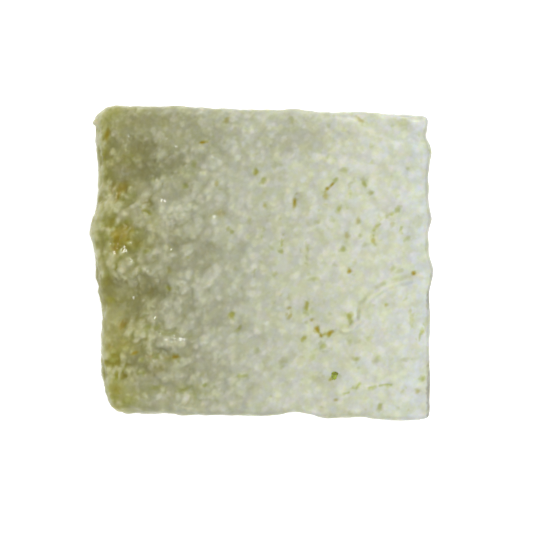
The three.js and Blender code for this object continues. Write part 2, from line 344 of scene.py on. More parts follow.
# Cracks between the curds
GROOVES = (
    Groove(((36.1, 8.4), (36.2, 10.4), (38.2, 12.7), (40.5, 14.6), (42.4, 15.4)), 0.6, 0.25, Whey.OLIVE),
    Groove(((35.0, -40.7), (36.8, -39.8)), 0.6, 0.25, Whey.OLIVE),
    Groove(((38.6, -39.6), (41.4, -39.5)), 0.5, 0.3, Whey.OLIVE),
    Groove(((26.9, -42.0), (29.4, -40.8), (31.8, -38.9)), 0.6, 0.25, Whey.OLIVE),
    Groove(((50.4, -24.9), (51.2, -23.0), (52.4, -20.1)), 0.6, 0.2, Whey.OLIVE),
    Groove(((48.2, -20.8), (48.1, -15.2)), 0.7, 0.1, Whey.PALE),
    Groove(((14.6, 6.4), (14.8, 3.4), (14.9, 0.9)), 0.5, 0.2, Whey.PALE),
    Groove(((6.6, 4.6), (7.6, 8.6)), 0.5, 0.25, Whey.OLIVE),
    Groove(((-1.8, -2.4), (-1.7, -5.2)), 0.4, 0.3, Whey.PALE),
    Groove(((28.4, 21.0), (28.5, 24.2), (30.5, 26.8), (33.0, 26.4)), 0.6, 0.12, Whey.PALE),
    Groove(((45.1, 11.2), (45.1, 9.2)), 0.4, 0.2, Whey.OLIVE),
    Groove(((-17.2, 39.0), (-15.6, 40.4), (-15.0, 42.4)), 0.5, 0.2, Whey.PALE),
    Groove(((9.2, -14.6), (8.8, -18.0)), 0.5, 0.2, Whey.TAN),
    Groove(((3.0, 14.8), (1.4, 11.6), (0.4, 8.0)), 0.5, 0.15, Whey.PALE),
    Groove(((-33.0, -22.0), (-29.4, -22.6), (-26.4, -21.8)), 0.6, 0.6, Whey.PALE),
)

# Curd nodules that stand proud, with painted light on their tops
NODULES = (
    Mark(-33.0, 12.0, 5.5, 4.5, 50, 0.3),
    Mark(-48.6, 18.5, 3.0, 2.4, 80, 0.3),
    Mark(-33.0, -16.6, 4.0, 3.0, 30, 0.4),
    Mark(-26.0, 15.4, 4.0, 3.0, 30, 0.3),
    Mark(-33.0, -31.0, 3.4, 2.0, 10, 0.3),
    Mark(-25.0, -47.0, 4.0, 2.0, 0, 0.3),
    Mark(-48.6, 2.0, 2.4, 2.0, 0, 0.4),
    Mark(-48.6, 21.6, 2.4, 3.0, 0, 0.4),
    Mark(-9.8, 12.0, 3.6, 6.0, 0, 0.25),
    Mark(13.2, 14.2, 3.6, 3.4, 0, 0.25),
    Mark(1.8, -24.0, 6.5, 3.4, 0, 0.2),
    Mark(-48.4, 19.6, 2.0, 1.3, 70, 0.8),
    Mark(-44.5, 15.2, 1.9, 1.4, 20, 0.7),
    Mark(-37.9, 20.6, 2.2, 1.3, 35, 0.7),
    Mark(-32.0, 26.0, 1.8, 1.2, 40, 0.5),
    Mark(-23.6, 19.8, 1.7, 1.3, 20, 0.6),
    Mark(-40.0, 12.0, 2.3, 1.0, 10, 0.7),
    Mark(-31.0, 15.4, 1.6, 1.1, 40, 0.7),
    Mark(-38.2, 3.2, 2.0, 1.0, 35, 0.6),
    Mark(-34.6, 2.6, 1.6, 0.9, 40, 0.6),
    Mark(-28.4, -6.2, 1.5, 1.3, 20, 0.7),
    Mark(-23.6, -3.6, 2.1, 1.0, 35, 0.5),
    Mark(-35.6, -13.6, 1.8, 1.3, 60, 0.6),
    Mark(-30.0, -12.4, 1.8, 1.2, 20, 0.6),
    Mark(-42.0, -21.9, 2.4, 1.2, 45, 0.7),
    Mark(-29.5, -26.3, 3.2, 1.9, 4, 0.8),
    Mark(-36.0, -26.0, 1.6, 1.1, 10, 0.4),
    Mark(-31.6, -36.6, 2.0, 1.3, 10, 0.5),
    Mark(-24.4, -44.6, 2.6, 1.7, 45, 0.6),
    Mark(-19.5, 36.0, 1.6, 1.2, 0, 0.4),
    Mark(-31.6, 34.6, 1.6, 1.3, 20, 0.5),
    Mark(-47.6, 35.4, 1.2, 1.0, 0, 0.5),
    Mark(-19.6, 15.9, 1.7, 1.1, 30, 0.4),
    Mark(-8.4, 18.6, 3.0, 1.2, 30, 0.35),
    Mark(45.2, -46.6, 0.9, 0.6, 80, 0.3),
    Mark(-53.2, 45.1, 1.1, 0.7, 150, 2.2),
)


@dataclass
class Surface:
    """The relief, stains, painted light and shade, and coarseness at every vertex, filled in as they are
    worked out.
    """

    places: list[Vector]
    outward: list[Vector]
    height: list[float] = field(default_factory=list)
    whey: list[float] = field(default_factory=list)
    brown: list[float] = field(default_factory=list)
    painted_shade: list[float] = field(default_factory=list)
    pale_and_lit: list[float] = field(default_factory=list)
    coarse: list[float] = field(default_factory=list)


@dataclass(frozen=True)
class CurdLayer:
    """One size of curd: how wide, and how proud by the rolled side and on the cut face."""

    size: float
    coarse_rise: float
    cut_rise: float
    start: float
    sharpness: float = 8.0
    crown: float = 0.3
    fall: float = 2.3
    shuffle: float = 1.7

    def cells(self, place: Vector) -> tuple[float, float]:
        """Finds the curd at a place.

        Args:
            place: where to look.

        Returns:
            How far out from the curds' middles the place is, from 0 to about 0.55, and the nearest curd's
            own number, from -1 to 1.
        """
        start = Vector((self.start, self.start, self.start))
        distances, middles = noise.voronoi(place / self.size + start)
        nearness = sum(math.exp(-self.sharpness * distance) for distance in distances)
        return -math.log(nearness) / self.sharpness, noise.cell(middles[0] * self.shuffle)

    def rise(self, out: float, coarse: float) -> float:
        """How proud the curd stands at a place.

        Args:
            out: how far out from the curds' middles the place is.
            coarse: how coarse the curd is there.

        Returns:
            The height about the mean.
        """
        return blend(self.cut_rise, self.coarse_rise, coarse) * (self.crown - self.fall * out * out)


@dataclass(frozen=True)
class Specks:
    """The small specks of whey that are scattered over the curd."""

    spacing: float = 2.7
    bend: Drift = Drift(1.6, 0.3)
    shuffle: float = 3.1
    least: float = 0.16
    most: float = 0.48
    core: float = 0.1
    chances: Ramp = Ramp(0.25, 0.7)

    def at(self, place: Vector) -> float:
        """Finds the speck at a place.

        Args:
            place: where to look.

        Returns:
            How deep in a speck the place is: 1 in its middle and 0 away from it.
        """
        distances, middles = noise.voronoi(place / self.spacing + self.bend.move(place))
        chance = noise.cell(middles[0] * self.shuffle)
        size = blend(self.least, self.most, chance)
        return (1.0 - Ramp(self.core * size, size).at(distances[0])) * self.chances.at(chance)


@dataclass(frozen=True)
class Coarseness:
    """Where the curd is coarse: by the rolled side, and less so at the front, at the back and on the foot."""

    wander: tuple[Drift, Drift] = (Drift(13.0, 7.0), Drift(4.0, 3.0))
    leftward: Ramp = Ramp(-10.0, 30.0)
    front: Ramp = Ramp(36.0, 43.0)
    front_loss: float = 0.6
    back: Ramp = Ramp(34.0, 41.0)
    back_loss: float = 0.65
    downward: Ramp = Ramp(0.3, 0.8)
    foot_loss: float = 0.75

    def at(self, place: Vector, outward: Vector) -> float:
        """How coarse the curd is at a place.

        Args:
            place: a point of the surface.
            outward: the surface's normal there.

        Returns:
            0 on the smooth cut face and 1 by the rolled side.
        """
        coarse = self.leftward.at(-place.x - sum(drift.at(place) for drift in self.wander))
        coarse *= 1.0 - self.front_loss * self.front.at(-place.y)
        coarse *= 1.0 - self.back_loss * self.back.at(place.y)
        return coarse * (1.0 - self.foot_loss * self.downward.at(-outward.z))


@dataclass(frozen=True)
class CurdRelief:
    """The relief of pressed curd: coarse lumps by the rolled side, and a smoother cut face across from it."""

    # The curds, and the flow that draws them out and bends them
    coarseness: Coarseness = Coarseness()
    large: CurdLayer = CurdLayer(4.6, 0.44, 0.15, 0.0)
    middling: CurdLayer = CurdLayer(2.4, 0.43, 0.12, 17.0)
    uneven: tuple[Drift, Drift] = (Drift(9.0, 0.7, (3.0, 7.0, 1.0)), Drift(3.4, 0.6, (1.0, 4.0, 8.0)))
    flow_turn: float = 40.0
    flow_stretch: float = 0.14
    bends: tuple[Drift, Drift] = (Drift(4.6, 0.6), Drift(1.7, 0.3))

    # The longer swells, the bulge of the sides, and the foot's flatter relief
    swell: Drift = Drift(4.8, 0.45)
    swell_on_cut: float = 0.9
    side_bulge: float = 0.3
    downward: Ramp = Ramp(0.3, 0.9)
    foot_loss: float = 0.75

    # How deep a place between the curds is, and how much painted shade it gets
    cavity: Ramp = Ramp(0.0, 0.42)
    cavity_swell: float = 0.6
    cavity_shade: float = 0.5

    # The whey yellow and golden brown between the curds, by the rolled side
    near_rolled: Ramp = Ramp(26.0, 46.0)
    golden: Drift = Drift(7.0, 1.0, (11.0, 2.0, 5.0))
    golden_range: Ramp = Ramp(-0.15, 0.4)
    whey_away: float = 0.2
    whey_near: float = 0.7
    whey_golden: float = 0.7
    brown_least: float = 0.12
    brown_deep: float = 0.35
    brown_range: Ramp = Ramp(0.5, 1.0)

    # The scattered specks
    specks: Specks = Specks()
    speck_depth: float = 0.1
    speck_whey: float = 0.55
    speck_loss: float = 0.5

    # How pale the curds are, partly their own tone and partly painted light, with painted light on the faces
    # turned towards the rolled side and painted shade on the edge that turns down to the right side
    curd_edge: Ramp = Ramp(0.16, 0.6)
    curd_pale_and_lit: float = 0.9
    curd_differs: float = 0.3
    leftward: Ramp = Ramp(0.35, 0.85)
    rolled_painted_light: float = 0.9
    rightward: Ramp = Ramp(0.3, 0.7)
    upward: Ramp = Ramp(0.02, 0.3)
    turned_shade: float = 0.5

    def carried(self, place: Vector) -> Vector:
        """Draws a place out along the flow and bends it a little.

        Args:
            place: a point of the surface.

        Returns:
            The place that the curd's pattern is read at.
        """
        angle = math.radians(self.flow_turn)
        flow = Vector((math.cos(angle), math.sin(angle), 0.0))
        drawn = place - flow * (place.dot(flow) * self.flow_stretch)
        return drawn + self.bends[0].move(place) + self.bends[1].move(place)

    def lay(self, surface: Surface) -> None:
        """Works out the curds' relief and fills in the surface.

        Args:
            surface: the surface, with no more than its places and normals.
        """
        for place, outward in zip(surface.places, surface.outward):
            coarse = self.coarseness.at(place, outward)
            height, whey, brown, painted_shade, pale_and_lit = self.curds(place, coarse)
            pressed = 1.0 - self.foot_loss * self.downward.at(-outward.z)
            turned = self.rightward.at(outward.x) * self.upward.at(outward.z)
            surface.height.append(height * pressed + self.side_bulge * (1.0 - abs(outward.z)))
            surface.whey.append(whey)
            surface.brown.append(brown)
            surface.painted_shade.append(painted_shade + self.turned_shade * turned)
            surface.pale_and_lit.append(pale_and_lit + self.rolled_painted_light * self.leftward.at(-outward.x))
            surface.coarse.append(coarse)

    def curds(self, place: Vector, coarse: float) -> tuple[float, float, float, float, float]:
        """The lumps, gaps and specks at one place.

        Args:
            place: a point of the surface.
            coarse: how coarse the curd is there.

        Returns:
            The height, the whey yellow, the golden brown, the painted shade, and how pale the curd is with
            its painted light.
        """
        carried = self.carried(place)
        large_out, _ = self.large.cells(carried)
        middling_out, own = self.middling.cells(carried)
        rise = self.large.rise(large_out, coarse) + self.middling.rise(middling_out, coarse)
        rise *= 1.0 + sum(drift.at(place) for drift in self.uneven)
        swell = self.swell.at(place) * blend(self.swell_on_cut, 1.0, coarse)
        cavity = self.cavity.at(-rise - self.cavity_swell * swell) * coarse
        near = self.near_rolled.at(-place.x)
        golden = self.golden_range.at(self.golden.at(place))
        speck = self.specks.at(place) * (1.0 - self.speck_loss * coarse)
        yellow = blend(self.whey_away, self.whey_near, near) + self.whey_golden * golden * near
        whey = min(cavity * yellow + self.speck_whey * speck, 1.0)
        deep = self.brown_deep * cavity * self.brown_range.at(golden)
        brown = cavity * near * (self.brown_least + deep)
        # Paler curd middles: partly the curds' own tone, partly painted light on their tops
        pale_and_lit = (1.0 - self.curd_edge.at(middling_out)) * (self.curd_pale_and_lit + self.curd_differs * own)
        # The gaps between the curds get painted shade
        return rise + swell - self.speck_depth * speck, whey, brown, self.cavity_shade * cavity, pale_and_lit


@dataclass(frozen=True)
class Ledge:
    """The low ledge near the front right corner: a rim, and a groove along its foot."""

    line: Line = Line(
        (
            (26.4, -21.9),
            (29.1, -21.1),
            (32.3, -18.5),
            (32.3, -15.5),
            (34.6, -11.9),
            (38.2, -9.1),
            (42.4, -7.3),
            (51.4, -4.6),
        )
    )
    left: float = 22.0
    front: float = -28.0
    back: float = 0.0
    bend: Drift = Drift(2.4, 0.5)

    # The groove along its foot, set off from the line, with whey and painted shade in it
    foot_shift: tuple[float, float, float] = (-0.9, 1.1, 0.0)
    foot_gaps: Drift = Drift(2.6)
    foot_gap_range: Ramp = Ramp(-0.6, 0.2)
    foot_width: Ramp = Ramp(0.1, 1.3)
    foot_depth: float = 0.08
    foot_whey: float = 0.42
    foot_shade: float = 0.1

    # The rim on the line, with painted light on it
    rim_width: Ramp = Ramp(0.2, 1.5)
    rim_rise: float = 0.7
    rim_whey: float = 0.14
    rim_painted_light: float = 0.8

    def lay(self, surface: Surface, tops: Sequence[int]) -> None:
        """Raises the ledge's rim with painted light on it, and cuts the groove with painted shade in it.

        Args:
            surface: the surface to change.
            tops: the vertices of the top face.
        """
        for index in tops:
            place = surface.places[index]
            if place.x < self.left or not self.front < place.y < self.back:
                continue
            strayed = place + self.bend.move(place)
            patchy = self.foot_gap_range.at(self.foot_gaps.at(place))
            to_foot = self.line.distance(strayed - Vector(self.foot_shift))
            foot = (1.0 - self.foot_width.at(to_foot)) * patchy
            rim = 1.0 - self.rim_width.at(self.line.distance(strayed))
            whey = blend(surface.whey[index], self.rim_whey, rim)
            surface.height[index] += self.rim_rise * rim - self.foot_depth * foot
            surface.whey[index] = max(whey, self.foot_whey * foot)
            surface.pale_and_lit[index] = blend(surface.pale_and_lit[index], self.rim_painted_light, rim)
            surface.painted_shade[index] = max(surface.painted_shade[index], self.foot_shade * foot)


@dataclass(frozen=True)
class TopMarks:
    """The hollows, nodules, pits, cracks and ledge of the top face."""

    ledge: Ledge = Ledge()
    facing: float = 0.05
    reach: float = 1.9

    # Hollows, nodules and pits, which are treated as wide ones the more they are across
    wide: Ramp = Ramp(1.0, 2.0)
    edge: Drift = Drift(1.1, 0.6)
    dip: Ramp = Ramp(0.2, 1.3)
    small_share: float = 0.35
    wide_share: float = 0.8
    worn: float = 0.6
    nodule_painted_light: float = 0.35
    stain: Ramp = Ramp(0.3, 1.7)
    patches: Drift = Drift(1.4, 1.0, (5.0, 9.0, 2.0))
    patch_range: Ramp = Ramp(-0.35, 0.3)
    patch_least: float = 0.7

    # Cracks
    crack_bend: Drift = Drift(1.8, 0.55)
    crack_gaps: Drift = Drift(1.1)
    crack_gap_range: Ramp = Ramp(-0.5, 0.2)
    crack_middle: float = 0.1
    crack_reach: float = 1.7
    crack_margin: float = 2.0

    def lay(self, surface: Surface) -> None:
        """Adds every mark of the top face.

        Args:
            surface: the surface, with its curds laid.
        """
        tops = [i for i, outward in enumerate(surface.outward) if outward.z > self.facing]
        tree = kdtree.KDTree(len(tops))
        for index in tops:
            place = surface.places[index]
            tree.insert((place.x, place.y, 0.0), index)
        tree.balance()
        for mark in (*HOLLOWS, *NODULES, *PITS):
            self.add_mark(surface, tree, mark)
        for groove in GROOVES:
            self.add_groove(surface, tree, groove)
        self.ledge.lay(surface, tops)

    def add_mark(self, surface: Surface, tree: kdtree.KDTree, mark: Mark) -> None:
        """Adds one hollow, pit or nodule.

        Args:
            surface: the surface to change.
            tree: the top's vertices in plan.
            mark: what to add.
        """
        yellow, brown, painted_shade = mark.whey.value
        wide = self.wide.at(mark.across)
        for _, index, _ in tree.find_range((mark.x, mark.y, 0.0), mark.reach(self.reach)):
            place = surface.places[index]
            out = mark.distance(place) * (1.0 + self.edge.at(place))
            share = 1.0 - self.dip.at(out)
            stain = 1.0 - self.stain.at(out)
            patchy = blend(self.patch_least, 1.0, self.patch_range.at(self.patches.at(place)))
            gathered = stain * blend(1.0, patchy, wide)
            surface.height[index] *= 1.0 - self.worn * wide * painted_shade * stain
            surface.height[index] += blend(self.small_share, self.wide_share, wide) * mark.rise * share
            # Nodules get painted light on their tops
            if mark.rise > 0.0:
                surface.pale_and_lit[index] += self.nodule_painted_light * share
            surface.whey[index] = blend(surface.whey[index], yellow, gathered)
            surface.brown[index] = blend(surface.brown[index], brown, gathered * share)
            # The mark's painted shade
            surface.painted_shade[index] = blend(surface.painted_shade[index], painted_shade, stain)

    def add_groove(self, surface: Surface, tree: kdtree.KDTree, groove: Groove) -> None:
        """Cuts one crack.

        Args:
            surface: the surface to change.
            tree: the top's vertices in plan.
            groove: what to cut.
        """
        yellow, brown, _ = groove.whey.value
        points = [Vector(point) for point in groove.points]
        middle = sum(points, Vector((0.0, 0.0))) / len(points)
        reach = max((point - middle).length for point in points) + self.crack_margin * groove.width
        width = Ramp(self.crack_middle, self.crack_reach * groove.width)
        for _, index, _ in tree.find_range((middle.x, middle.y, 0.0), reach):
            place = surface.places[index]
            strayed = place + self.crack_bend.move(place)
            patchy = self.crack_gap_range.at(self.crack_gaps.at(place))
            share = (1.0 - width.at(groove.distance(strayed))) * patchy
            surface.height[index] -= groove.depth * share
            surface.whey[index] = max(surface.whey[index], yellow * share)
            surface.brown[index] = max(surface.brown[index], brown * share)


class Value:
    """A number in a material that adds Math nodes when it is used in an expression."""

    def __init__(self, bench: "Bench", socket: bpy.types.NodeSocket) -> None:
        """Wraps an output socket.

        Args:
            bench: the material's bench.
            socket: the socket that gives the number.
        """
        self.bench = bench
        self.socket = socket

    def math(self, operation: str, *terms: "Value | float", clamp: bool = False) -> "Value":
        """Adds a Math node.

        Args:
            operation: the node's operation.
            terms: its inputs, in order.
            clamp: keeps the result from 0 to 1.

        Returns:
            The node's result.
        """
        settings = {"operation": operation, "use_clamp": clamp}
        node = self.bench.node("ShaderNodeMath", settings, dict(enumerate(terms)))
        return Value(self.bench, node.outputs[0])

    def __add__(self, other: "Value | float") -> "Value":
        """self + other."""
        return self.math("ADD", self, other)

    def __radd__(self, other: float) -> "Value":
        """other + self."""
        return self.math("ADD", other, self)

    def __sub__(self, other: "Value | float") -> "Value":
        """self - other."""
        return self.math("SUBTRACT", self, other)

    def __rsub__(self, other: float) -> "Value":
        """other - self."""
        return self.math("SUBTRACT", other, self)

    def __mul__(self, other: "Value | float") -> "Value":
        """self * other."""
        return self.math("MULTIPLY", self, other)

    def __rmul__(self, other: float) -> "Value":
        """other * self."""
        return self.math("MULTIPLY", other, self)

    def clamped(self) -> "Value":
        """The number, kept from 0 to 1."""
        return self.math("ADD", self, 0.0, clamp=True)


@dataclass(frozen=True)
class Stop:
    """A colour and its place on a ramp, from 0 to 1."""

    place: float
    colour: Colour


class Bench:
    """Makes one material and its nodes."""

    def __init__(self, name: str) -> None:
        """Starts an empty material.

        Args:
            name: the material's name.
        """
        self.material = bpy.data.materials.new(name)
        self.material.use_nodes = True
        self.tree = self.material.node_tree
        self.tree.nodes.clear()

    def node(
        self, kind: str, settings: dict | None = None, sockets: dict | None = None
    ) -> bpy.types.Node:
        """Adds a node.

        Args:
            kind: the node's type.
            settings: its settings by name, with a ramp's stops under "stops".
            sockets: values or links by the input's name or number.

        Returns:
            The new node.
        """
        node = self.tree.nodes.new(kind)
        for name, value in (settings or {}).items():
            if name == "stops":
                self.set_stops(node.color_ramp, value)
            else:
                setattr(node, name, value)
        for key, value in (sockets or {}).items():
            self.feed(node.inputs[key], value)
        return node

    def feed(
        self, socket: bpy.types.NodeSocket, value: "Value | bpy.types.NodeSocket | float | Colour"
    ) -> None:
        """Links or sets one input.

        Args:
            socket: the input.
            value: a wrapped or bare output to link, or a constant.
        """
        if isinstance(value, Value):
            value = value.socket
        if isinstance(value, bpy.types.NodeSocket):
            self.tree.links.new(value, socket)
        elif socket.type == "RGBA":
            socket.default_value = (*value, 1.0)
        else:
            socket.default_value = value

    @staticmethod
    def set_stops(ramp: bpy.types.ColorRamp, stops: Sequence[Stop]) -> None:
        """Gives a ramp its stops.

        Args:
            ramp: the ramp, which has two stops to start with.
            stops: its stops in order, two or more.
        """
        for _ in stops[2:]:
            ramp.elements.new(1.0)
        for element, stop in zip(ramp.elements, stops):
            element.position = stop.place
            element.color = (*stop.colour, 1.0)

    def mix(
        self, share: "Value | float", first: object, second: object, way: str = "MIX"
    ) -> bpy.types.NodeSocket:
        """Mixes two colours.

        Args:
            share: how much of the second.
            first: the first colour or link.
            second: the second colour or link.
            way: the Mix node's blend type.

        Returns:
            The mixed colour.
        """
        settings = {"data_type": "RGBA", "blend_type": way, "clamp_factor": True}
        node = self.node("ShaderNodeMix", settings, {0: share, 6: first, 7: second})
        return node.outputs[2]

    def attribute(self, name: str) -> Value:
        """The number that each vertex holds under a name."""
        node = self.node("ShaderNodeAttribute", {"attribute_type": "GEOMETRY", "attribute_name": name})
        return Value(self, node.outputs["Fac"])

    def place(self) -> bpy.types.NodeSocket:
        """The place on the object, in metres."""
        return self.node("ShaderNodeTexCoord").outputs["Object"]

    def mottle(self, size: float, detail: float = 2.0, roughness: float = 0.5) -> Value:
        """Soft random patches.

        Args:
            size: the patches' size in millimetres.
            detail: the number of finer layers.
            roughness: the share of those layers.

        Returns:
            A number around 0.5.
        """
        sockets = {
            "Vector": self.place(),
            "Scale": 1.0 / (size * MM),
            "Detail": detail,
            "Roughness": roughness,
        }
        return Value(self, self.node("ShaderNodeTexNoise", None, sockets).outputs[0])

    def cells(self, size: float, turn: float, drawn: float, softness: float) -> Value:
        """Soft rounded cells that are drawn out in plan.

        Args:
            size: the cells' size in millimetres.
            turn: the direction in which they are drawn out, in degrees.
            drawn: how many times longer they are that way.
            softness: how softly they meet, from 0 to 1.

        Returns:
            A number from 0 in a cell's middle to about 0.7 between the cells.
        """
        angle = math.radians(turn)
        sockets = {"Vector": self.place(), "Rotation": (0.0, 0.0, angle), "Scale": (drawn, 1.0, 1.0)}
        turned = self.node("ShaderNodeMapping", {"vector_type": "TEXTURE"}, sockets).outputs[0]
        sockets = {"Vector": turned, "Scale": 1.0 / (size * MM), "Smoothness": softness}
        node = self.node("ShaderNodeTexVoronoi", {"feature": "SMOOTH_F1"}, sockets)
        return Value(self, node.outputs["Distance"])

    def stretch(self, value: Value, low: float, high: float) -> Value:
        """Stretches a number's range from low to high onto 0 to 1.

        Args:
            value: the number.
            low: what becomes 0.
            high: what becomes 1.

        Returns:
            The number, kept from 0 to 1.
        """
        sockets = {0: value, 1: low, 2: high}
        node = self.node("ShaderNodeMapRange", {"interpolation_type": "SMOOTHSTEP"}, sockets)
        return Value(self, node.outputs[0])

    def finish(self, surface: bpy.types.NodeSocket) -> bpy.types.Material:
        """Gives the material its surface.

        Args:
            surface: the shader.

        Returns:
            The material.
        """
        self.node("ShaderNodeOutputMaterial", None, {"Surface": surface})
        return self.material


@dataclass(frozen=True)
class Span:
    """A number that goes from one value to another as a share goes from 0 to 1."""

    start: float
    end: float

    def at(self, share: Value) -> Value:
        """The number at a share."""
        return share * (self.end - self.start) + self.start


@dataclass(frozen=True)
class Patches:
    """Soft random patches: their size in millimetres, what fades in between, and how strong they are."""

    size: float
    low: float
    high: float
    strength: float = 1.0
    detail: float = 2.0
    roughness: float = 0.5

    def share(self, bench: Bench) -> Value:
        """How much of a patch lies at a place, from 0 to the patches' strength."""
        mottle = bench.mottle(self.size, self.detail, self.roughness)
        return bench.stretch(mottle, self.low, self.high) * self.strength


@dataclass(frozen=True)
class Waver:
    """Soft random ups and downs of a number: their size in millimetres, and how strong they are."""

    size: float
    strength: float

    def around(self, bench: Bench) -> Value:
        """The ups and downs, on either side of 0."""
        return (bench.mottle(self.size) - 0.5) * self.strength


@dataclass(frozen=True)
class Grain:
    """The fine grain of the curd, drawn out along its flow."""

    size: float = 1.3
    turn: float = 40.0
    drawn: float = 1.3
    softness: float = 0.35
    low: float = 0.12
    high: float = 0.62

    def share(self, bench: Bench) -> Value:
        """1 in the middle of a grain and 0 between the grains."""
        cells = bench.cells(self.size, self.turn, self.drawn, self.softness)
        return 1.0 - bench.stretch(cells, self.low, self.high)


@dataclass(frozen=True)
class CurdFinish:
    """Moist pressed curd: ivory, yellower and partly painted darker towards the rolled side, with whey in its
    pits and cracks, painted light on its curds' middles and painted shade between them and in its hollows.

    Each span of a number goes from the smooth cut face to the coarse curd by the rolled side.
    """

    # The curd's colours across the block, from the rolled side to the cut one: the darkening towards the
    # rolled side is partly its own colour and partly painted shade, and the bluer cut edge is painted cool
    # light
    rolled: Stop = Stop(0.04, (0.73, 0.71, 0.345))
    near_rolled: Stop = Stop(0.17, (0.625, 0.62, 0.41))
    middle: Stop = Stop(0.42, (0.73, 0.745, 0.62))
    cut: Stop = Stop(0.84, (0.925, 0.95, 0.875))
    cool_lit_cut_edge: Stop = Stop(1.0, (0.92, 0.965, 0.97))
    half_width: float = 55.0
    across_waver: Waver = Waver(14.0, 0.25)

    # The places between the curds and their grains, darkened as painted shade, and the curds' chalky middles,
    # partly their own tone and partly painted light
    grain: Grain = Grain()
    gap_shade: Colour = (0.74, 0.75, 0.67)
    gap_shade_span: Span = Span(0.25, 0.4)
    grain_gap_shade: float = 0.14
    chalk: Colour = (0.91, 0.91, 0.85)
    rolled_chalk: Colour = (0.85, 0.86, 0.64)
    chalk_from: float = 0.4
    chalk_share: float = 0.55
    grain_chalk: float = 0.12
    chalk_span: Span = Span(1.0, 0.65)

    # The faint tints of the curd
    rosy: Colour = (0.97, 0.935, 0.945)
    rosy_patches: Patches = Patches(3.6, 0.42, 0.64, 0.75, 4.0, 0.6)
    dull: Colour = (0.85, 0.85, 0.83)
    dull_patches: Patches = Patches(4.2, 0.38, 0.62, 0.6)
    straw: Colour = (0.99, 1.0, 0.82)
    straw_patches: Patches = Patches(3.2, 0.38, 0.62, 1.0, 4.0, 0.6)
    straw_span: Span = Span(1.0, 0.5)

    # What has gathered on it, and the tints of its painted shade
    whey: Colour = (0.74, 0.775, 0.33)
    whey_waver: Waver = Waver(1.6, 0.25)
    brown: Colour = (0.84, 0.62, 0.12)
    painted_shade: Colour = (0.64, 0.61, 0.55)
    shade: Colour = (0.55, 0.55, 0.55)

    # How rough and how wet it is, where the first number of a wet span is its driest
    wet_patches: Patches = Patches(6.0, 0.42, 0.62, 1.0, 3.0)
    wet_roughness: Span = Span(0.5, 0.3)
    roughness_waver: Waver = Waver(0.8, 0.15)
    wet_coat: Span = Span(0.3, 0.8)
    coat_span: Span = Span(0.15, 1.0)
    coat_roughness: float = 0.16
    coat_ior: float = 1.36
    ior: float = 1.38

    # The fine bumps, with their height in millimetres
    bump_strength: float = 0.5
    bump_height: float = 0.16
    bump_span: Span = Span(0.25, 0.65)
    grain_bump: float = 0.8
    fine_bump: float = 0.3
    fine_size: float = 0.6

    # How far light goes into the curd: red, green and blue, in millimetres
    inner_share: float = 0.7
    inner_reach: Colour = (1.0, 0.8, 0.5)

    def material(self) -> bpy.types.Material:
        """Makes the material.

        Returns:
            The material.
        """
        bench = Bench("curd")
        coarse = bench.attribute("coarse")
        grain = self.grain.share(bench)
        wet = self.wet_patches.share(bench)
        shader = bench.node(
            "ShaderNodeBsdfPrincipled",
            {"subsurface_method": "RANDOM_WALK"},
            {
                "Base Color": self.stained(bench, self.curd(bench, coarse, grain)),
                "Roughness": self.wet_roughness.at(wet) + self.roughness_waver.around(bench),
                "IOR": self.ior,
                "Subsurface Weight": self.inner_share,
                "Subsurface Radius": self.inner_reach,
                "Subsurface Scale": MM,
                "Coat Weight": self.wet_coat.at(wet) * self.coat_span.at(coarse),
                "Coat Roughness": self.coat_roughness,
                "Coat IOR": self.coat_ior,
                "Normal": self.bumps(bench, coarse, grain),
            },
        )
        return bench.finish(shader.outputs[0])

    def curd(self, bench: Bench, coarse: Value, grain: Value) -> bpy.types.NodeSocket:
        """Mixes the colour of the curd itself, with its painted light and shade.

        Args:
            bench: the material's bench.
            coarse: how coarse the curd is.
            grain: 1 in the middle of a grain and 0 between the grains.

        Returns:
            The colour.
        """
        split = bench.node("ShaderNodeSeparateXYZ", None, {0: bench.place()})
        across = Value(bench, split.outputs[0]) * (0.5 / (self.half_width * MM)) + 0.5
        across = across + self.across_waver.around(bench)
        stops = (self.rolled, self.near_rolled, self.middle, self.cut, self.cool_lit_cut_edge)
        colour = bench.node("ShaderNodeValToRGB", {"stops": stops}, {0: across}).outputs[0]
        pale_and_lit = bench.attribute("pale_and_lit")
        # Painted shade between the curds and their grains
        sunk_shade = (1.0 - pale_and_lit) * self.gap_shade_span.at(coarse) + (1.0 - grain) * self.grain_gap_shade
        colour = bench.mix(sunk_shade, colour, self.gap_shade, "MULTIPLY")
        # Painted light on the curds' pale middles, partly their own chalky tone
        chalky = (pale_and_lit - self.chalk_from) * self.chalk_share + grain * self.grain_chalk
        chalky = (chalky * self.chalk_span.at(coarse)).clamped()
        colour = bench.mix(chalky, colour, bench.mix(coarse, self.chalk, self.rolled_chalk))
        straw = self.straw_patches.share(bench) * self.straw_span.at(coarse)
        tints = (
            (self.rosy_patches.share(bench), self.rosy),
            (self.dull_patches.share(bench), self.dull),
            (straw, self.straw),
        )
        for share, tint in tints:
            colour = bench.mix(share, colour, tint, "MULTIPLY")
        return colour

    def stained(self, bench: Bench, colour: bpy.types.NodeSocket) -> bpy.types.NodeSocket:
        """Lays the whey, the brown and the painted shade, deepest past 1, over a colour.

        Args:
            bench: the material's bench.
            colour: the curd's own colour.

        Returns:
            The stained colour.
        """
        painted_shade = bench.attribute("painted_shade")
        stains = (
            (bench.attribute("whey") + self.whey_waver.around(bench), self.whey),
            (bench.attribute("brown"), self.brown),
            (painted_shade, self.painted_shade),
            (painted_shade - 1.0, self.shade),
        )
        for share, tint in stains:
            colour = bench.mix(share.clamped(), colour, tint, "MULTIPLY")
        return colour

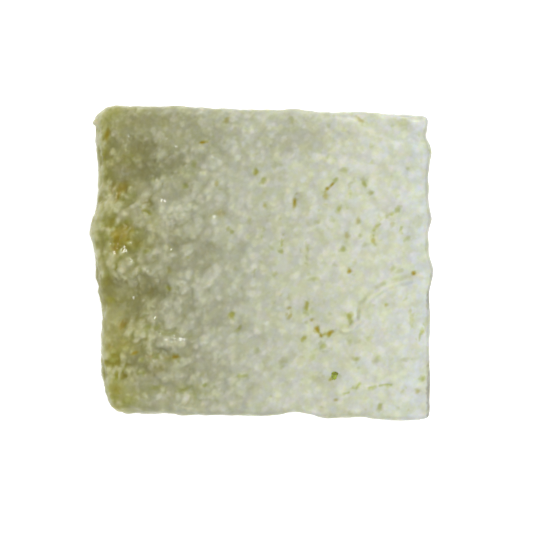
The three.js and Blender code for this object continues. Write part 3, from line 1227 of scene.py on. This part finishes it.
    def bumps(self, bench: Bench, coarse: Value, grain: Value) -> bpy.types.NodeSocket:
        """Makes the fine bumps of the grain.

        Args:
            bench: the material's bench.
            coarse: how coarse the curd is.
            grain: 1 in the middle of a grain and 0 between the grains.

        Returns:
            The bumpy normal.
        """
        fine = grain * self.grain_bump + bench.mottle(self.fine_size) * self.fine_bump
        sockets = {
            "Strength": self.bump_strength,
            "Distance": self.bump_height * MM,
            "Height": fine * self.bump_span.at(coarse),
        }
        return bench.node("ShaderNodeBump", None, sockets).outputs[0]


@dataclass(frozen=True)
class HerbFinish:
    """A bruised fresh green leaf."""

    dark: Colour = (0.26, 0.29, 0.03)
    light: Colour = (0.48, 0.60, 0.07)
    light_patches: Patches = Patches(1.6, 0.35, 0.5, 1.0, 1.0)
    roughness: float = 0.45

    def material(self) -> bpy.types.Material:
        """Makes the material.

        Returns:
            The material.
        """
        bench = Bench("herb")
        colour = bench.mix(self.light_patches.share(bench), self.dark, self.light)
        sockets = {"Base Color": colour, "Roughness": self.roughness}
        return bench.finish(bench.node("ShaderNodeBsdfPrincipled", None, sockets).outputs[0])


@dataclass(frozen=True)
class TableFinish:
    """A bright white table top, lit from below as well as from above."""

    colour: Colour = (0.6, 0.6, 0.6)
    roughness: float = 0.9
    glow: float = 0.82

    def material(self) -> bpy.types.Material:
        """Makes the material.

        Returns:
            The material.
        """
        bench = Bench("table_top")
        sockets = {
            "Base Color": self.colour,
            "Roughness": self.roughness,
            "Emission Color": WHITE,
            "Emission Strength": self.glow,
        }
        return bench.finish(bench.node("ShaderNodeBsdfPrincipled", None, sockets).outputs[0])


def place_mesh(name: str, mesh: bpy.types.Mesh, material: bpy.types.Material) -> bpy.types.Object:
    """Puts a finished mesh into the scene.

    Args:
        name: the object's name.
        mesh: its mesh, in metres in the row frame.
        material: its finish.

    Returns:
        The new object.
    """
    mesh.materials.clear()
    mesh.materials.append(material)
    mesh.shade_smooth()
    piece = bpy.data.objects.new(name, mesh)
    bpy.context.scene.collection.objects.link(piece)
    return piece


@dataclass
class CheeseBlock:
    """The block itself, with its curds, cracks and pits."""

    name: str = "cheese_block"
    merge: float = 0.001
    levels: int = 2
    foot_to: float = 0.05
    top_from: float = 0.96
    relief: CurdRelief = CurdRelief()
    marks: TopMarks = TopMarks()
    finish: CurdFinish = CurdFinish()

    def cage(self) -> bpy.types.Mesh:
        """Copies the node's surface, with its vertices merged and its triangles paired.

        Returns:
            The coarse mesh, in metres.
        """
        shape = bmesh.new()
        shape.from_mesh(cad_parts[CHEESE_NODE].data)
        bmesh.ops.remove_doubles(shape, verts=shape.verts, dist=self.merge * MM)
        bmesh.ops.join_triangles(
            shape, faces=shape.faces, angle_face_threshold=math.pi, angle_shape_threshold=math.pi
        )
        mesh = bpy.data.meshes.new("cage")
        shape.to_mesh(mesh)
        shape.free()
        return mesh

    def shaped(self, mesh: bpy.types.Mesh, kind: str, **settings: object) -> bpy.types.Mesh:
        """Applies one modifier.

        Args:
            mesh: the mesh to change.
            kind: the modifier's type.
            settings: its settings.

        Returns:
            The changed mesh, as a new one.
        """
        piece = bpy.data.objects.new("work", mesh)
        bpy.context.scene.collection.objects.link(piece)
        modifier = piece.modifiers.new(kind.lower(), kind)
        for name, value in settings.items():
            setattr(modifier, name, value)
        ready = piece.evaluated_get(bpy.context.evaluated_depsgraph_get())
        made = bpy.data.meshes.new_from_object(ready)
        bpy.data.objects.remove(piece)
        return made

    def skin(self) -> bpy.types.Mesh:
        """Makes the smooth fine skin: the flat foot is one face, and the top has the smallest faces.

        Returns:
            The skin, in metres.
        """
        mesh = self.shaped(self.cage(), "SUBSURF", levels=self.levels, render_levels=self.levels)
        shape = bmesh.new()
        shape.from_mesh(mesh)
        low = self.foot_to * MM
        foot = [face for face in shape.faces if all(vertex.co.z < low for vertex in face.verts)]
        bmesh.ops.dissolve_faces(shape, faces=foot)
        top = [
            edge for edge in shape.edges if all(vertex.normal.z > self.top_from for vertex in edge.verts)
        ]
        bmesh.ops.subdivide_edges(shape, edges=top, cuts=1, use_grid_fill=True)
        shape.normal_update()
        shape.to_mesh(mesh)
        shape.free()
        return mesh

    def build(self) -> bpy.types.Mesh:
        """Makes the block's mesh: the fine skin, its relief, the whey on it and its painted light and shade.

        Returns:
            The mesh, in metres.
        """
        skin = self.skin()
        log.info("skin: %d vertices", len(skin.vertices))
        surface = Surface(
            [vertex.co / MM for vertex in skin.vertices],
            [vertex.normal.copy() for vertex in skin.vertices],
        )
        self.relief.lay(surface)
        self.marks.lay(surface)
        moved = bmesh.new()
        moved.from_mesh(skin)
        for vertex, height, outward in zip(moved.verts, surface.height, surface.outward):
            vertex.co += outward * (height * MM)
            vertex.co.z = max(vertex.co.z, 0.0)
        moved.to_mesh(skin)
        moved.free()
        for name in ("whey", "brown", "painted_shade", "pale_and_lit", "coarse"):
            layer = skin.attributes.new(name, "FLOAT", "POINT")
            layer.data.foreach_set("value", getattr(surface, name))
        skin.calc_loop_triangles()
        log.info("skin: %d triangles", len(skin.loop_triangles))
        return skin

    def place(self) -> bpy.types.Object:
        """Builds the block, dresses it and hands it over as the cheese node's piece.

        Returns:
            The new piece.
        """
        piece = place_mesh(self.name, self.build(), self.finish.material())
        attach(piece, ROOT)
        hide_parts(CHEESE_NODE)
        log.info("%s: %d faces", self.name, len(piece.data.polygons))
        return piece


@dataclass
class HerbFleck:
    """A scrap of green herb that is pressed into the top, crumpled by two sizes of folds."""

    name: str = "herb_fleck"
    x: float = 23.8
    y: float = -36.1
    length: float = 2.5
    width: float = 1.6
    thickness: float = 0.2
    turn: float = 68.0
    lift: float = 0.03
    above: float = 100.0
    rounds: int = 4
    fold: float = 0.6
    folds_across: float = 3.1
    fine_fold: float = 0.4
    fine_folds_across: float = 7.0
    finish: HerbFinish = HerbFinish()

    def build(self, block: bpy.types.Object) -> bpy.types.Mesh:
        """Makes the crumpled scrap, draped over the top face.

        Args:
            block: the cheese that it lies on.

        Returns:
            The mesh, in metres.
        """
        shape = bmesh.new()
        bmesh.ops.create_icosphere(shape, subdivisions=self.rounds, radius=0.5)
        for vertex in shape.verts:
            fold = self.fold * noise.noise(vertex.co * self.folds_across)
            fine_fold = self.fine_fold * noise.noise(vertex.co * self.fine_folds_across)
            vertex.co *= 1.0 + fold + fine_fold
        size = Matrix.Diagonal((self.length * MM, self.width * MM, self.thickness * MM, 1.0))
        turn = Matrix.Rotation(math.radians(self.turn), 4, "Z")
        move = Matrix.Translation(Vector((self.x, self.y, self.lift)) * MM)
        bmesh.ops.transform(shape, matrix=move @ turn @ size, verts=shape.verts)
        for vertex in shape.verts:
            start = Vector((vertex.co.x, vertex.co.y, self.above * MM))
            vertex.co.z += block.ray_cast(start, Vector((0.0, 0.0, -1.0)))[1].z
        mesh = bpy.data.meshes.new(self.name)
        shape.to_mesh(mesh)
        shape.free()
        return mesh

    def place(self, block: bpy.types.Object) -> bpy.types.Object:
        """Lays the scrap on the block.

        Args:
            block: the cheese that it lies on.

        Returns:
            The new piece.
        """
        piece = place_mesh(self.name, self.build(block), self.finish.material())
        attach(piece, ROOT)
        log.info("%s: %d faces", self.name, len(piece.data.polygons))
        return piece


@dataclass(frozen=True)
class Lamp:
    """One soft round studio lamp, with its place, aim and size in metres."""

    name: str
    at: tuple[float, float, float]
    aim: tuple[float, float, float]
    size: float
    power: float
    colour: Colour = WHITE

    def place(self) -> None:
        """Hangs the lamp."""
        data = bpy.data.lights.new(self.name, "AREA")
        data.shape = "DISK"
        data.size = self.size
        data.energy = self.power
        data.color = self.colour
        lamp = bpy.data.objects.new(self.name, data)
        lamp.location = self.at
        down = Vector(self.aim) - Vector(self.at)
        lamp.rotation_euler = down.to_track_quat("-Z", "Y").to_euler()
        bpy.context.scene.collection.objects.link(lamp)


@dataclass
class Studio:
    """The white table, the lamps and the camera, whose nearest sight is in metres as the table's width is."""

    table_size: float = 6.0
    table_drop: float = 0.15
    sky: Colour = (0.95, 0.97, 1.0)
    sky_strength: float = 0.255
    photo_pixels: float = 533.0
    pixel_size: float = 0.32
    photo_middle: tuple[float, float] = (1.92, -1.42)
    top_height: float = 38.8
    lens: float = 85.0
    sensor: float = 36.0
    nearest: float = 0.01
    lamps: tuple[Lamp, ...] = (
        Lamp("key_lamp", (0.4, 1.0, 1.3), (0.0, 0.0, 0.03), 0.5, 11.7),
        Lamp("top_lamp", (0.15, -0.6, 1.2), (0.0, 0.0, 0.0), 0.9, 4.9),
    )

    def lay_table(self) -> None:
        """Lays the table top just under the block's foot."""
        shape = bmesh.new()
        bmesh.ops.create_grid(shape, x_segments=1, y_segments=1, size=self.table_size / 2)
        bmesh.ops.translate(shape, verts=shape.verts, vec=(0.0, 0.0, -self.table_drop * MM))
        mesh = bpy.data.meshes.new("table_top")
        shape.to_mesh(mesh)
        shape.free()
        place_mesh("table_top", mesh, TableFinish().material())

    def hang_lights(self) -> None:
        """Hangs the lamps and sets the soft light from all round."""
        for lamp in self.lamps:
            lamp.place()
        world = bpy.data.worlds.new("soft_light")
        world.use_nodes = True
        background = world.node_tree.nodes["Background"]
        background.inputs["Color"].default_value = (*self.sky, 1.0)
        background.inputs["Strength"].default_value = self.sky_strength
        bpy.context.scene.world = world

    def set_camera(self) -> None:
        """Sets the camera straight above, so that one pixel is one pixel size on the top face."""
        across = self.photo_pixels * self.pixel_size
        height = self.top_height + across / self.sensor * self.lens
        data = bpy.data.cameras.new("camera")
        data.lens = self.lens
        data.sensor_width = self.sensor
        data.clip_start = self.nearest
        camera = bpy.data.objects.new("camera", data)
        camera.location = Vector((*self.photo_middle, height)) * MM
        bpy.context.scene.collection.objects.link(camera)
        bpy.context.scene.camera = camera
        bpy.context.scene.view_settings.view_transform = "Standard"

    def place(self) -> None:
        """Sets up the whole studio."""
        self.lay_table()
        self.hang_lights()
        self.set_camera()
        log.info("studio: %d lamps", len(self.lamps))


def main() -> None:
    """Builds the block, the fleck on it and the studio, in that order."""
    logging.basicConfig(level=logging.INFO, format="%(message)s")
    noise.seed_set(NOISE_SEED)
    block = CheeseBlock().place()
    bpy.context.view_layer.update()
    HerbFleck().place(block)
    Studio().place()


if __name__ == "__main__":
    main()
